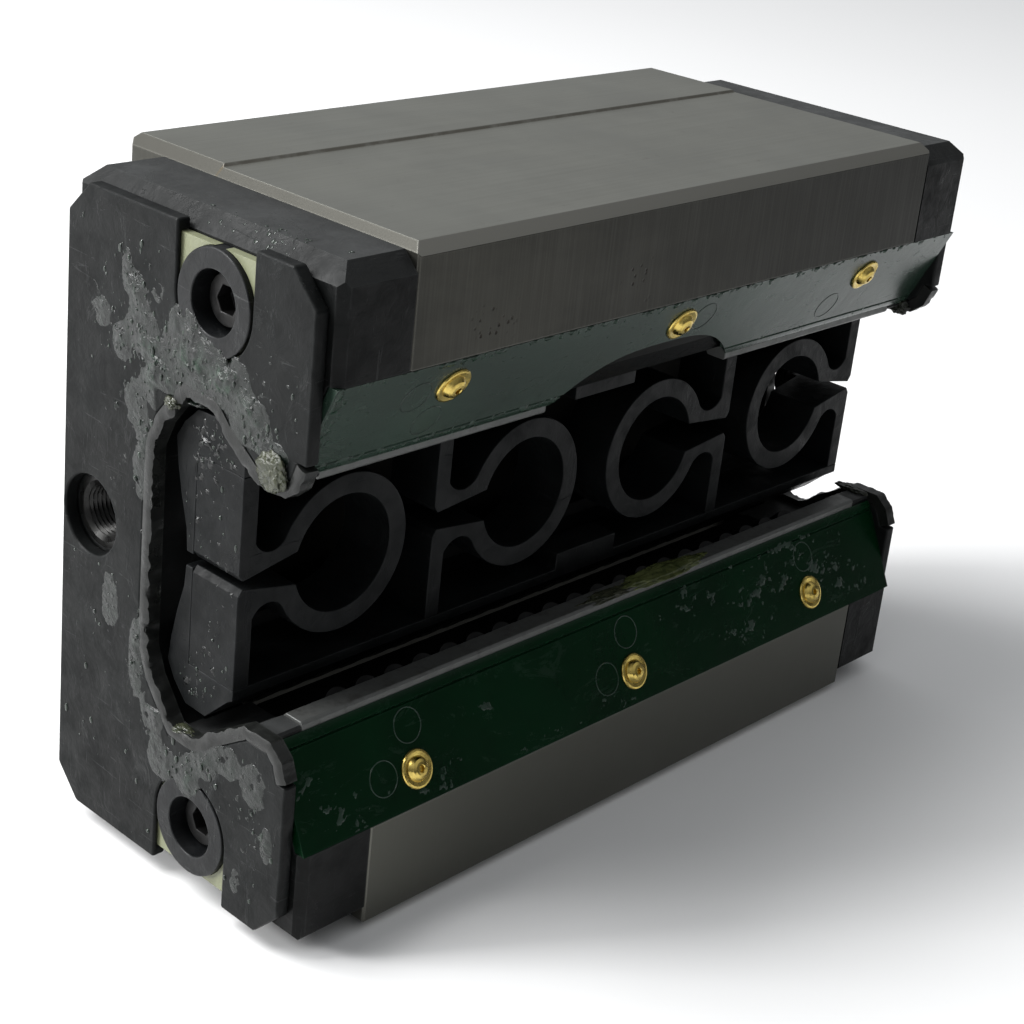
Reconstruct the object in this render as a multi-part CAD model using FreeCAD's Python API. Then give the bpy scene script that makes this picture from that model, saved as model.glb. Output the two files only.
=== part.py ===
import FreeCAD, Part
import math
import os

# Low, narrow roller guide carriage for a 35 mm rail, fitted with its plastic dummy rail.
# It lies on one flank: X runs along the rail, +Z is up (the width of the carriage),
# -Y is the rail side and +Y the mounting face. Origin: centre of the lower flank.
# Sections are drawn in (depth, height): depth is measured from the rail side.

# ---------------------------------------------------------------- driving sizes
WIDTH = 70.0              # flank to flank
BODY_H = 41.4             # rail side to mounting face
STEEL_L = 80.4            # length of the steel saddle
HEAD_L = 8.5              # moulded head on each end
PLATE_T = 1.5             # end plate
BACKING_T = 0.9           # seal backing plate, let into the back of the end plate
WIPER_PROUD = 0.3         # wiper lip in front of the end plate
HEAD_BACK = 37.0          # depth of the heads
HEAD_EDGE = 1.8           # their sloped long edges
HEAD_BACK_EDGE = 0.5      # and the small ones round the outer face, at the back
HEAD_SIDE_EDGE = 0.9      # and on the rail side
PLATE_DEPTHS = (1.5, 36.5)    # end plate, from rail side to back
PLATE_LOW = 1.9           # its distance from the flanks
PLATE_EDGE = 3.2          # its cut corners
BACKING_DEPTHS = (2.6, 35.4)
BACKING_LOW = 3.1
BACKING_EDGE = 2.0
CHAMFER = 1.1             # saddle edges
BAND = 11.8               # flat rail-side band beside each flank
STRIP_RUN = (0.431, 0.902)    # direction across the slanted retainer strip
STRIP_W = 11.2            # width of the strip across the slant
STRIP_T = 1.1             # thickness of the strip
STRIP_END = 48.6          # half its length
ARCH_TOP = 5.9            # highest point of the upper strip's relief, across the slant
ARCH_HALF = 14.3          # half its length along the strip
ARCH_X = -1.0             # and its middle
GUIDE_SEAT_Z = 21.25      # foot and top of the steel guide strip
GUIDE_TOP_Z = 22.7
GUIDE_END = 45.3          # half its length
STOP_SECTION = [(5.05, 21.25), (8.05, 21.25), (8.05, 20.9), (9.2, 20.9), (9.2, 21.3),
                (7.6, 22.4), (5.3, 22.4), (5.05, 22.15)]    # head's stop beside its end
STRIP_GROOVE = 9.9        # shallow groove along the retainer strip, across the slant
STRIP_LIP_TOP = 21.85     # highest point of the strip's lip
ROLLER_D = 3.6
ROLLER_L = 5.0
ROLLER_PITCH = 3.9
ROW_DEPTHS = (10.33, 20.67)   # loaded rows, front and back
TURN_ANGLES = (72, 114)       # rollers caught in each turn
ROW_Z = 18.5
RETURN_DEPTHS = (8.3, 22.4)   # return bores
RETURN_Z = 7.6
RETURN_BORE_D = 7.4
TUBE_D = 7.3
TUBE_BORE_D = 6.3
CHANNEL_FLOOR = 24.6      # depth of the channel bottom
STEP_DEPTH = 27.6         # edge of the raised reference strip on the upper flank
STEP_H = 0.3
SCREW_DEPTH = 14.9        # head screws
SCREW_Z = 8.2
BUSH_D = 10.1             # bush flange
SLEEVE_D = 7.5            # and its sleeve
SLEEVE_L = 3.3            # depth of the sleeve below the head's face
FLANGE_IN = 1.0           # depth of the flange below the head's face
COUNTERBORE_D = 6.1
COUNTERBORE_L = 2.7
SCREW_D = 3.0
SCREW_TAP_D = 3.1
SCREW_HOLE_D = 3.3
SCREW_HEAD_D = 5.0        # small-head M3
SCREW_HEAD_L = 2.6
HEX = 2.5
PORT_DEPTH = 32.0         # lubrication port
PORT_BORE_D = 8.2
PORT_BOSS_D = 10.4        # boss round the port at the back of the end plate
INSERT_D = 7.6
PORT_CORE_D = 5.0         # core of the M6 thread
DUMMY_L = 98.8            # dummy rail
RIB_FRONT = 11.5
DUMMY_X = 1.0             # where the dummy rail happens to rest along the channel
RIB_BACK = 18.2
RING_R = 8.3
RING_WALL = 2.2
RING_X = (36.4, 10.8)     # ring centres, outer and inner pair
LEG_X = (49.4, 24.2)      # outer faces of the legs
SLIT = (0.4, 0.9)         # half the gap between the legs
LEG_T = 1.9
SIDE_INNER = 10.9         # inner face of the dummy's side rails from mid height
PAD_INNER = 9.0           # inner face of the pads on them
PAD_X = (-4.2, 5.6)
MOUNT_X = 25.0            # tapped holes in the mounting face
MOUNT_Z = 25.0
MOUNT_CORE_D = 6.8
MOUNT_HOLE_L = 13.0
RIVET_X = (-33.0, 0.0, 33.0)
RIVET_S = 3.5             # rivet place across the strip
RIVET_HOLE_D = 2.1
RIVET_HOLE_L = 6.0

MID_Z = WIDTH / 2
HALF_STEEL = STEEL_L / 2
HEAD_END = HALF_STEEL + HEAD_L
PLATE_END = HEAD_END + PLATE_T
WIPER_END = PLATE_END + WIPER_PROUD
BACKING_END = HEAD_END + BACKING_T
STRIP_NORMAL = (STRIP_RUN[1], -STRIP_RUN[0])      # into the saddle

X_AXIS = FreeCAD.Vector(1, 0, 0)
Y_AXIS = FreeCAD.Vector(0, 1, 0)
Z_AXIS = FreeCAD.Vector(0, 0, 1)


# ---------------------------------------------------------------- helpers
def at(x, depth, z):
    """A point in the part's frame from a depth behind the rail side."""
    return FreeCAD.Vector(x, depth - BODY_H / 2, z)


def prism(section, x0, x1):
    """A (depth, height) outline swept along X."""
    points = [at(x0, depth, z) for depth, z in section]
    face = Part.Face(Part.makePolygon(points + [points[0]]))
    return face.extrude(FreeCAD.Vector(x1 - x0, 0, 0))


def side_prism(outline, depth0, depth1):
    """An (x, height) outline swept through the depth."""
    points = [at(x, depth0, z) for x, z in outline]
    face = Part.Face(Part.makePolygon(points + [points[0]]))
    return face.extrude(FreeCAD.Vector(0, depth1 - depth0, 0))


def top_prism(outline, z0, z1):
    """An (x, depth) outline swept upwards."""
    points = [at(x, depth, z0) for x, depth in outline]
    face = Part.Face(Part.makePolygon(points + [points[0]]))
    return face.extrude(FreeCAD.Vector(0, 0, z1 - z0))


def block(x0, x1, depth0, depth1, z0, z1):
    return prism([(depth0, z0), (depth1, z0), (depth1, z1), (depth0, z1)], x0, x1)


def bar(diameter, x0, x1, depth, z):
    """A round bar along X."""
    return Part.makeCylinder(diameter / 2, x1 - x0, at(x0, depth, z), X_AXIS)


def flip_z(points):
    """The same outline on the upper leg, in reverse order."""
    return [(depth, WIDTH - z) for depth, z in reversed(points)]


def upper(shape):
    return shape.mirror(FreeCAD.Vector(0, 0, MID_Z), Z_AXIS)


def left(shape):
    return shape.mirror(FreeCAD.Vector(0, 0, 0), X_AXIS)


def offset_line(points, distance):
    """An open outline moved sideways to its right by a distance, with mitred corners."""
    moved = []
    for index, (px, py) in enumerate(points):
        normals = []
        for first, second in ((index - 1, index), (index, index + 1)):
            if first < 0 or second >= len(points):
                continue
            dx = points[second][0] - points[first][0]
            dy = points[second][1] - points[first][1]
            size = math.hypot(dx, dy)
            normals.append((dy / size, -dx / size))
        nx = sum(n[0] for n in normals)
        ny = sum(n[1] for n in normals)
        scale = len(normals) / (nx * nx + ny * ny)
        moved.append((px + nx * scale * distance, py + ny * scale * distance))
    return moved


def slant(run, inward=0.0):
    """A point on the strip's outer face, moved into the saddle."""
    depth = STRIP_RUN[0] * run + STRIP_NORMAL[0] * inward
    z = BAND + STRIP_RUN[1] * run + STRIP_NORMAL[1] * inward
    return depth, z


def save(name, shape):
    shape = shape.removeSplitter() if shape.ShapeType != "Compound" else shape
    assert shape.isValid(), name
    shape.exportStep("parts/" + name + ".step")
    print(name, len(shape.Solids), "solids", round(shape.Volume, 1), "mm3")


# ---------------------------------------------------------------- shared outlines
# Rail contour of the lower leg from mouth to mid height: what the wiper closes on.
MOUTH = [(1.5, 19.6), (2.3, 21.6), (3.9, 22.9), (7.6, 22.9), (8.9, 22.1), (11.0, 20.7),
         (12.5, 19.8), (13.9, 18.5), (15.0, 18.0), (18.0, 18.0), (21.2, 21.9), (22.4, 24.6)]
WIPER_LINE = MOUTH + flip_z(MOUTH)
PLATE_LINE = offset_line(WIPER_LINE, 1.3)
BACKING_LINE = offset_line(WIPER_LINE, 2.3)

# Saddle section of the lower leg, from the band to the channel floor.
RACE_SHIFT = ROLLER_D / 2 * math.sqrt(0.5)
RACE_HALF = 1.9
TIP_Z = ROW_Z - RACE_SHIFT + RACE_HALF
TIP_RUN = (TIP_Z - BAND + STRIP_RUN[0] * STRIP_T) / STRIP_RUN[1]
SEAT_RUN = STRIP_RUN[0] * STRIP_T / STRIP_RUN[1]
RELIEF_Z = 14.4


def race_line(row, sign):
    """Ends of a raceway: tip side first. sign is +1 for the front row."""
    depth = ROW_DEPTHS[row] - sign * RACE_SHIFT
    z = ROW_Z - RACE_SHIFT
    tip = (depth - sign * RACE_HALF, z + RACE_HALF)
    root = (depth + sign * RACE_HALF, z - RACE_HALF)
    return tip, root


FRONT_TIP, FRONT_ROOT = race_line(0, 1)
BACK_TIP, BACK_ROOT = race_line(1, -1)
SEAT_LINE = [(0, BAND), slant(SEAT_RUN, STRIP_T), slant(TIP_RUN, STRIP_T)]
LEG_LINE = SEAT_LINE + [
    FRONT_TIP, FRONT_ROOT, (FRONT_ROOT[0] + 0.5, RELIEF_Z), (BACK_ROOT[0] - 0.5, RELIEF_Z),
    BACK_ROOT, BACK_TIP, (CHANNEL_FLOOR, BACK_TIP[1] + 0.8)]
HEAD_LINE = SEAT_LINE + [
    (8.05, TIP_Z), (8.05, 21.2), (9.2, 21.2), (13.4, 17.7), (14.6, 17.2), (18.4, 17.2),
    (21.9, 21.4), (23.0, 24.0)]


# ---------------------------------------------------------------- turning circuits
def circuit(row):
    """Middle, direction and cross direction of one turning plane in the lower leg."""
    load = (ROW_DEPTHS[row], ROW_Z)
    back = (RETURN_DEPTHS[row], RETURN_Z)
    span = math.hypot(back[0] - load[0], back[1] - load[1])
    run = ((back[0] - load[0]) / span, (back[1] - load[1]) / span)
    middle = ((load[0] + back[0]) / 2, (load[1] + back[1]) / 2)
    cross = FreeCAD.Vector(0, run[1], -run[0])
    return middle, run, cross, span / 2


def half_disc(row, radius, thickness):
    """A D-shaped disc on the inner face of the right head, in the circuit's plane."""
    middle, run, cross, _ = circuit(row)
    centre = at(HALF_STEEL, middle[0], middle[1])
    disc = Part.makeCylinder(radius, thickness, centre - cross * (thickness / 2), cross)
    keep = block(HALF_STEEL, HEAD_END, -10, BODY_H + 10, -10, WIDTH + 10)
    return disc.common(keep)


CAVITY_R = [circuit(row)[3] + ROLLER_D / 2 + 0.1 for row in (0, 1)]
GUIDE_R = [circuit(row)[3] - ROLLER_D / 2 - 0.1 for row in (0, 1)]
CAVITY_T = ROLLER_L + 0.3


# ---------------------------------------------------------------- steel saddle
def screw_places():
    return [(SCREW_DEPTH, SCREW_Z), (SCREW_DEPTH, WIDTH - SCREW_Z)]


def rivet_axis(x, run, inward):
    """A point on a rivet's axis in the lower strip."""
    depth, z = slant(run, inward)
    return at(x, depth, z)


RIVET_DIR = FreeCAD.Vector(0, STRIP_NORMAL[0], STRIP_NORMAL[1])


def saddle():
    section = [(CHAMFER, 0), (BODY_H - CHAMFER, 0), (BODY_H, CHAMFER),
               (BODY_H, WIDTH - CHAMFER), (BODY_H - CHAMFER, WIDTH), (STEP_DEPTH, WIDTH),
               (STEP_DEPTH - STEP_H, WIDTH - STEP_H), (CHAMFER, WIDTH - STEP_H),
               (0, WIDTH - STEP_H - CHAMFER)]
    section = section + flip_z(LEG_LINE)[::-1] + LEG_LINE[::-1] + [(0, CHAMFER)]
    body = prism(section, -HALF_STEEL, HALF_STEEL)
    end = HALF_STEEL
    cut = CHAMFER
    fine = 0.25
    body = body.common(side_prism([(-end + cut, 0), (end - cut, 0), (end, cut), (end, WIDTH - cut),
                                   (end - cut, WIDTH), (-end + cut, WIDTH), (-end, WIDTH - cut),
                                   (-end, cut)], 0, BODY_H))
    body = body.common(top_prism([(-end + fine, 0), (end - fine, 0), (end, fine),
                                  (end, BODY_H - cut), (end - cut, BODY_H),
                                  (-end + cut, BODY_H), (-end, BODY_H - cut), (-end, fine)],
                                 0, WIDTH))
    tools = []
    for depth in RETURN_DEPTHS:
        for z in (RETURN_Z, WIDTH - RETURN_Z):
            tools.append(bar(RETURN_BORE_D, -end - 1, end + 1, depth, z))
    for depth, z in screw_places():
        tools.append(bar(SCREW_TAP_D, -end - 1, -end + 12, depth, z))
        tools.append(bar(SCREW_TAP_D, end - 12, end + 1, depth, z))
    for x in (-MOUNT_X, MOUNT_X):
        for dz in (-MOUNT_Z, MOUNT_Z):
            start = at(x, BODY_H, MID_Z + dz)
            tools.append(Part.makeCylinder(MOUNT_CORE_D / 2, MOUNT_HOLE_L, start, -Y_AXIS))
            tools.append(Part.makeCone(4.2, MOUNT_CORE_D / 2, 0.8, start, -Y_AXIS))
    for x in RIVET_X:
        start = rivet_axis(x, RIVET_S, 0)
        hole = Part.makeCylinder(RIVET_HOLE_D / 2, RIVET_HOLE_L, start, RIVET_DIR)
        tools.append(hole)
        tools.append(upper(hole))
    return body.cut(tools)


# ---------------------------------------------------------------- heads and end plates
def head():
    """The right-hand moulded head."""
    back = HEAD_BACK
    low = CHAMFER
    high = WIDTH - CHAMFER
    edge = HEAD_EDGE
    section = [(edge, low), (back - edge, low), (back, low + edge), (back, high - edge),
               (back - edge, high), (edge, high), (0, high - edge)]
    section = section + flip_z(HEAD_LINE)[::-1] + HEAD_LINE[::-1] + [(0, low + edge)]
    body = prism(section, HALF_STEEL, HEAD_END)
    x0 = HALF_STEEL
    x1 = HEAD_END
    body = body.common(side_prism([(x0, low), (x1 - edge, low), (x1, low + edge),
                                   (x1, high - edge), (x1 - edge, high), (x0, high)],
                                  0, back))
    small = HEAD_BACK_EDGE
    side = HEAD_SIDE_EDGE
    body = body.common(top_prism([(x0, 0), (x1 - side, 0), (x1, side), (x1, back - small),
                                  (x1 - small, back), (x0, back)], 0, WIDTH))
    tools = []
    for row in (0, 1):
        cavity = half_disc(row, CAVITY_R[row], CAVITY_T)
        tools.append(cavity)
        tools.append(upper(cavity))
    for depth, z in screw_places():
        tools.append(bar(BUSH_D + 0.1, HEAD_END - FLANGE_IN, HEAD_END + 1, depth, z))
        tools.append(bar(SLEEVE_D + 0.1, HEAD_END - SLEEVE_L, HEAD_END, depth, z))
        tools.append(bar(SCREW_HOLE_D, HALF_STEEL - 1, HEAD_END, depth, z))
    tools.append(bar(INSERT_D, HALF_STEEL + 1.0, HEAD_END + 1, PORT_DEPTH, MID_Z))
    stop = prism(STOP_SECTION, GUIDE_END + 0.1, STRIP_END)
    return body.cut(tools).fuse([stop, upper(stop)])


def backing_blank(play):
    """Outer shape of the backing plate; it stops short of the lugs beside the opening."""
    near = BACKING_DEPTHS[0] + play
    far = BACKING_DEPTHS[1] - play
    low = BACKING_LOW + play
    edge = BACKING_EDGE
    outline = [(near, low + edge), (near + edge, low), (far - edge, low), (far, low + edge),
               (far, WIDTH - low - edge), (far - edge, WIDTH - low),
               (near + edge, WIDTH - low), (near, WIDTH - low - edge)]
    body = prism(outline, HEAD_END, BACKING_END)
    lug = 16.0 - play
    return body.cut(block(HEAD_END - 1, PLATE_END, 0.0, 10.0 + play, lug, WIDTH - lug))


def opening_blank(line, x0, x1):
    """The space inside a contour line, run out past the rail side."""
    outline = [(-5.0, line[0][1])] + line + [(-5.0, line[-1][1])]
    return prism(outline, x0, x1)


def backing_plate():
    body = backing_blank(0.05).cut(opening_blank(BACKING_LINE, HEAD_END - 1, PLATE_END))
    tools = [bar(PORT_BOSS_D + 0.1, HEAD_END - 1, PLATE_END, PORT_DEPTH, MID_Z)]
    for depth, z in screw_places():
        tools.append(bar(BUSH_D + 0.1, HEAD_END - 1, PLATE_END, depth, z))
    return body.cut(tools)


def end_plate():
    """Front plate: notched at the screw bushes, recessed for the backing plate and bored."""
    near, far = PLATE_DEPTHS
    low = PLATE_LOW
    edge = PLATE_EDGE
    outline = [(near + edge, low), (far - edge, low), (far, low + edge),
               (far, WIDTH - low - edge), (far - edge, WIDTH - low),
               (near + edge, WIDTH - low), (near, WIDTH - low - edge), (near, low + edge)]
    body = prism(outline, HEAD_END, PLATE_END)
    rim = opening_blank(BACKING_LINE, HEAD_END - 1, PLATE_END)
    boss = bar(PORT_BOSS_D, HEAD_END - 1, PLATE_END, PORT_DEPTH, MID_Z)
    notch = BUSH_D / 2 + 0.25
    tools = [backing_blank(0.0).cut([rim, boss]),
             opening_blank(PLATE_LINE, HEAD_END - 1, PLATE_END + 1),
             bar(PORT_BORE_D, HEAD_END - 1, PLATE_END + 1, PORT_DEPTH, MID_Z)]
    for depth, z in screw_places():
        tools.append(bar(2 * notch, HEAD_END - 1, PLATE_END + 1, depth, z))
        outside = 0 if z < MID_Z else WIDTH
        tools.append(block(HEAD_END - 1, PLATE_END + 1, depth - notch, depth + notch,
                           min(z, outside), max(z, outside)))
    return body.cut(tools)


def wiper():
    """Rubber lip between the plate's opening and the rail contour."""
    return prism(WIPER_LINE + PLATE_LINE[::-1], HEAD_END, WIPER_END)


def bushes():
    """Flanged bushes that the head screws pull on, one at each screw."""
    solids = []
    for depth, z in screw_places():
        body = bar(BUSH_D, HEAD_END - FLANGE_IN, PLATE_END, depth, z)
        body = body.fuse(bar(SLEEVE_D, HEAD_END - SLEEVE_L, HEAD_END - FLANGE_IN, depth, z))
        body = body.cut(bar(COUNTERBORE_D, HEAD_END - COUNTERBORE_L, PLATE_END + 1, depth, z))
        body = body.cut(bar(SCREW_HOLE_D, HEAD_END - 4, PLATE_END, depth, z))
        solids.append(body.removeSplitter())
    return Part.makeCompound(solids)


def hex_prism(flats, x0, x1, depth, z):
    radius = flats / 2 / math.cos(math.pi / 6)
    outline = []
    for corner in range(6):
        angle = math.pi / 3 * corner
        outline.append((depth + radius * math.cos(angle), z + radius * math.sin(angle)))
    return prism(outline, x0, x1)


def end_screws():
    """Socket head cap screws M3 through head and bush into the saddle."""
    seat = HEAD_END - COUNTERBORE_L
    front = seat + SCREW_HEAD_L
    solids = []
    for depth, z in screw_places():
        top = bar(SCREW_HEAD_D, seat, front, depth, z)
        body = top.fuse(bar(SCREW_D, HALF_STEEL - 8.0, seat, depth, z))
        body = body.cut(hex_prism(HEX, front - 1.6, front + 1, depth, z))
        solids.append(body.removeSplitter())
    return Part.makeCompound(solids)


def lube_insert():
    """Threaded M6 insert in the head, bored to the thread's core."""
    x0 = HALF_STEEL + 1.0
    body = bar(INSERT_D, x0, HEAD_END, PORT_DEPTH, MID_Z)
    body = body.cut(bar(PORT_CORE_D, x0 - 1, HEAD_END + 1, PORT_DEPTH, MID_Z))
    mouth = Part.makeCone(PORT_CORE_D / 2, 3.1, 0.5, at(HEAD_END - 0.5, PORT_DEPTH, MID_Z), X_AXIS)
    return body.cut(mouth)


def lube_plug():
    """Short set screw that closes the far port."""
    body = bar(4.9, HEAD_END - 5.0, HEAD_END - 1.4, PORT_DEPTH, MID_Z)
    return body.cut(hex_prism(HEX, HEAD_END - 3.0, HEAD_END, PORT_DEPTH, MID_Z))


# ---------------------------------------------------------------- strips on the rail side
def arch():
    """Curved relief in the middle of the upper strip's inner edge, as (x, run) points."""
    points = []
    steps = 24
    for step in range(steps + 1):
        share = 2 * step / steps - 1
        run = ARCH_TOP + (STRIP_W - ARCH_TOP) * abs(share) ** 3
        points.append((ARCH_X + share * ARCH_HALF, run))
    return points


def retainer_strip(with_arch):
    """Moulded strip over the slanted inner edge of the lower leg and both heads."""
    groove = STRIP_GROOVE
    lip = STRIP_W - 0.4
    seat = GUIDE_SEAT_Z - 0.05
    section = [slant(0.06), slant(groove), slant(groove + 0.15, 0.2), slant(groove + 0.3),
               slant(lip), (5.0, STRIP_LIP_TOP), (5.0, seat), (8.0, seat), (8.0, 20.1), FRONT_TIP,
               slant(TIP_RUN, STRIP_T), slant(SEAT_RUN + 0.02, STRIP_T)]
    body = prism(section, -STRIP_END, STRIP_END)
    tools = []
    for x in RIVET_X:
        start = rivet_axis(x, RIVET_S, -1.0)
        tools.append(Part.makeCylinder(RIVET_HOLE_D / 2, RIVET_HOLE_L, start, RIVET_DIR))
    if with_arch:
        line = []
        for x, run in arch():
            depth, z = slant(run, -1.0)
            line.append(at(x, depth, z))
        for x in (ARCH_X + ARCH_HALF, ARCH_X - ARCH_HALF):
            depth, z = slant(STRIP_W + 4.0, -1.0)
            line.append(at(x, depth, z))
        face = Part.Face(Part.makePolygon(line + [line[0]]))
        tools.append(face.extrude(RIVET_DIR * (STRIP_T + 1.0)))
    return body.cut(tools)


def rivets():
    """Flanged brass rivets: domed centre with a small recess."""
    solids = []
    for x in RIVET_X:
        profile = [(0, 5.0), (1.0, 5.0), (1.0, 0.0), (1.95, 0.0), (1.98, -0.12), (1.9, -0.24),
                   (1.72, -0.28), (1.3, -0.22), (1.16, -0.45), (0.98, -0.68), (0.7, -0.84),
                   (0.42, -0.88), (0.34, -0.8), (0.3, -0.45), (0, -0.4)]
        base = rivet_axis(x, RIVET_S, 0)
        across = FreeCAD.Vector(1, 0, 0)
        points = [base + across * radius + RIVET_DIR * depth for radius, depth in profile]
        face = Part.Face(Part.makePolygon(points + [points[0]]))
        solids.append(face.revolve(base, RIVET_DIR, 360))
    return Part.makeCompound(solids)


GUIDE_SECTION = [(5.05, GUIDE_SEAT_Z), (8.6, GUIDE_SEAT_Z), (7.4, GUIDE_TOP_Z),
                 (5.3, GUIDE_TOP_Z), (5.05, GUIDE_TOP_Z - 0.25)]


def guide_strip():
    """Steel strip that keeps the front rollers in when no rail is fitted."""
    return prism(GUIDE_SECTION, -GUIDE_END, GUIDE_END)


def split_guide_strip():
    """The upper leg's guide strip, in two lengths that stop short of the relief."""
    first = prism(GUIDE_SECTION, -GUIDE_END, ARCH_X - ARCH_HALF - 0.2)
    second = prism(GUIDE_SECTION, ARCH_X + ARCH_HALF + 0.2, GUIDE_END)
    return Part.makeCompound([first, second])


# ---------------------------------------------------------------- rolling elements
def roller(x, depth, z, axis):
    start = at(x, depth, z) - axis * (ROLLER_L / 2)
    return Part.makeCylinder(ROLLER_D / 2, ROLLER_L, start, axis)


def loaded_rollers(row):
    sign = 1 if row == 0 else -1
    axis = FreeCAD.Vector(0, -sign * math.sqrt(0.5), math.sqrt(0.5))
    count = int((STEEL_L - 2.0) / ROLLER_PITCH)
    first = -(count - 1) / 2 * ROLLER_PITCH
    return [roller(first + index * ROLLER_PITCH, ROW_DEPTHS[row], ROW_Z, axis)
            for index in range(count)]


def returning_rollers(row):
    middle, run, cross, radius = circuit(row)
    count = int((STEEL_L - 2.0) / ROLLER_PITCH)
    first = -(count - 1) / 2 * ROLLER_PITCH
    solids = [roller(first + index * ROLLER_PITCH, RETURN_DEPTHS[row], RETURN_Z, cross)
              for index in range(count)]
    for side in (-1, 1):
        for angle in TURN_ANGLES:
            out = side * (HALF_STEEL + radius * math.sin(math.radians(angle)))
            along = radius * math.cos(math.radians(angle))
            solids.append(roller(out, middle[0] + run[0] * along, middle[1] + run[1] * along,
                                 cross))
    return solids


def return_tube(row):
    outer = bar(TUBE_D, -HALF_STEEL, HALF_STEEL, RETURN_DEPTHS[row], RETURN_Z)
    inner = bar(TUBE_BORE_D, -HALF_STEEL - 1, HALF_STEEL + 1, RETURN_DEPTHS[row], RETURN_Z)
    return outer.cut(inner)


def roller_retainer():
    """Moulded land between the two loaded rows of the lower leg."""
    section = [(11.6, 14.45), (19.4, 14.45), (19.4, 14.8), (17.0, 17.5), (14.0, 17.5),
               (11.6, 14.8)]
    return prism(section, -HALF_STEEL, HALF_STEEL)


def turn_guides():
    """Inner halves of the two roller turns in the right head, lower leg."""
    solids = [half_disc(row, GUIDE_R[row], CAVITY_T - 0.1) for row in (0, 1)]
    return Part.makeCompound(solids)


# ---------------------------------------------------------------- dummy rail
def dummy_side():
    """Lower side rail of the dummy rail, with its middle pad and end webs."""
    inner = MID_Z - SIDE_INNER
    section = [(RIB_FRONT, inner), (RIB_FRONT, 23.0), (12.2, 22.6), (15.4, 19.6), (18.4, 19.7),
               (20.3, 21.5), (21.4, 23.3), (21.0, 26.0), (19.9, 26.0), (19.4, 24.8),
               (RIB_BACK, inner)]
    half = DUMMY_L / 2
    body = prism(section, -half, half)
    parts = [block(PAD_X[0], PAD_X[1], RIB_FRONT, 15.0, inner, MID_Z - PAD_INNER)]
    web = [(RIB_BACK, inner), (RIB_BACK, 22.8), (21.3, 23.5), (21.0, 26.0), (20.3, 29.0),
           (19.4, 32.0), (19.2, 34.3), (RIB_BACK, 34.3)]
    parts.append(prism(web, -half, LEG_T - half))
    parts.append(prism(web, half - LEG_T, half))
    return body.fuse(parts).removeSplitter()


def spring_rib(leg_x, ring_x, slit):
    """Omega-shaped spring rib: two legs from the side rails and a ring open towards them.

    The ring lies on the +X side of the leg; slit is half the gap between the legs.
    """
    inner_r = RING_R - RING_WALL
    mouth = 1.7
    mouth_x = ring_x - math.sqrt(inner_r ** 2 - mouth ** 2)
    pocket_z = 3.9
    pocket_x = ring_x - math.sqrt(RING_R ** 2 - pocket_z ** 2)
    leg_in = leg_x + LEG_T
    reach = SIDE_INNER

    def place(x, up):
        return at(x, RIB_FRONT, MID_Z + up)

    edges = []

    def line(*points):
        for start, end in zip(points, points[1:]):
            edges.append(Part.LineSegment(place(*start), place(*end)).toShape())

    def arc(start, middle, end):
        edges.append(Part.Arc(place(*start), place(*middle), place(*end)).toShape())

    pocket_mid = ((leg_in + pocket_x) / 2, 2.7)
    line((leg_x, reach), (leg_x, slit + 0.7), (leg_x + 0.5, slit), (mouth_x, mouth))
    arc((mouth_x, mouth), (ring_x + inner_r, 0), (mouth_x, -mouth))
    line((mouth_x, -mouth), (leg_x + 0.5, -slit), (leg_x, -slit - 0.7), (leg_x, -reach),
         (leg_in, -reach), (leg_in, -pocket_z))
    arc((leg_in, -pocket_z), (pocket_mid[0], -pocket_mid[1]), (pocket_x, -pocket_z))
    arc((pocket_x, -pocket_z), (ring_x + RING_R, 0), (pocket_x, pocket_z))
    arc((pocket_x, pocket_z), pocket_mid, (leg_in, pocket_z))
    line((leg_in, pocket_z), (leg_in, reach), (leg_x, reach))
    face = Part.Face(Part.Wire(edges))
    return face.extrude(FreeCAD.Vector(0, RIB_BACK - RIB_FRONT, 0))


# ---------------------------------------------------------------- write the sub-parts
os.makedirs("parts", exist_ok=True)
save("saddle_body", saddle())

for side, place in (("right", lambda shape: shape), ("left", left)):
    save("head_" + side, place(head()))
    save("backing_plate_" + side, place(backing_plate()))
    save("end_plate_" + side, place(end_plate()))
    save("wiper_" + side, place(wiper()))
    save("screw_bushes_" + side, place(bushes()))
    save("end_screws_" + side, place(end_screws()))
    save("lube_insert_" + side, place(lube_insert()))
    save("turn_guides_lower_" + side, place(turn_guides()))
    save("turn_guides_upper_" + side, place(upper(turn_guides())))
save("lube_plug_right", lube_plug())

save("retainer_strip_lower", retainer_strip(False))
save("retainer_strip_upper", upper(retainer_strip(True)))
save("strip_rivets_lower", rivets())
save("strip_rivets_upper", upper(rivets()))
save("guide_strip_lower", guide_strip())
save("guide_strip_upper", upper(split_guide_strip()))

for row, row_name in ((0, "front"), (1, "back")):
    for leg, place in (("lower", lambda shape: shape), ("upper", upper)):
        save("loaded_rollers_" + leg + "_" + row_name,
             place(Part.makeCompound(loaded_rollers(row))))
        save("return_rollers_" + leg + "_" + row_name,
             place(Part.makeCompound(returning_rollers(row))))
        save("return_tube_" + leg + "_" + row_name, place(return_tube(row)))
save("roller_retainer_lower", roller_retainer())
save("roller_retainer_upper", upper(roller_retainer()))

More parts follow.
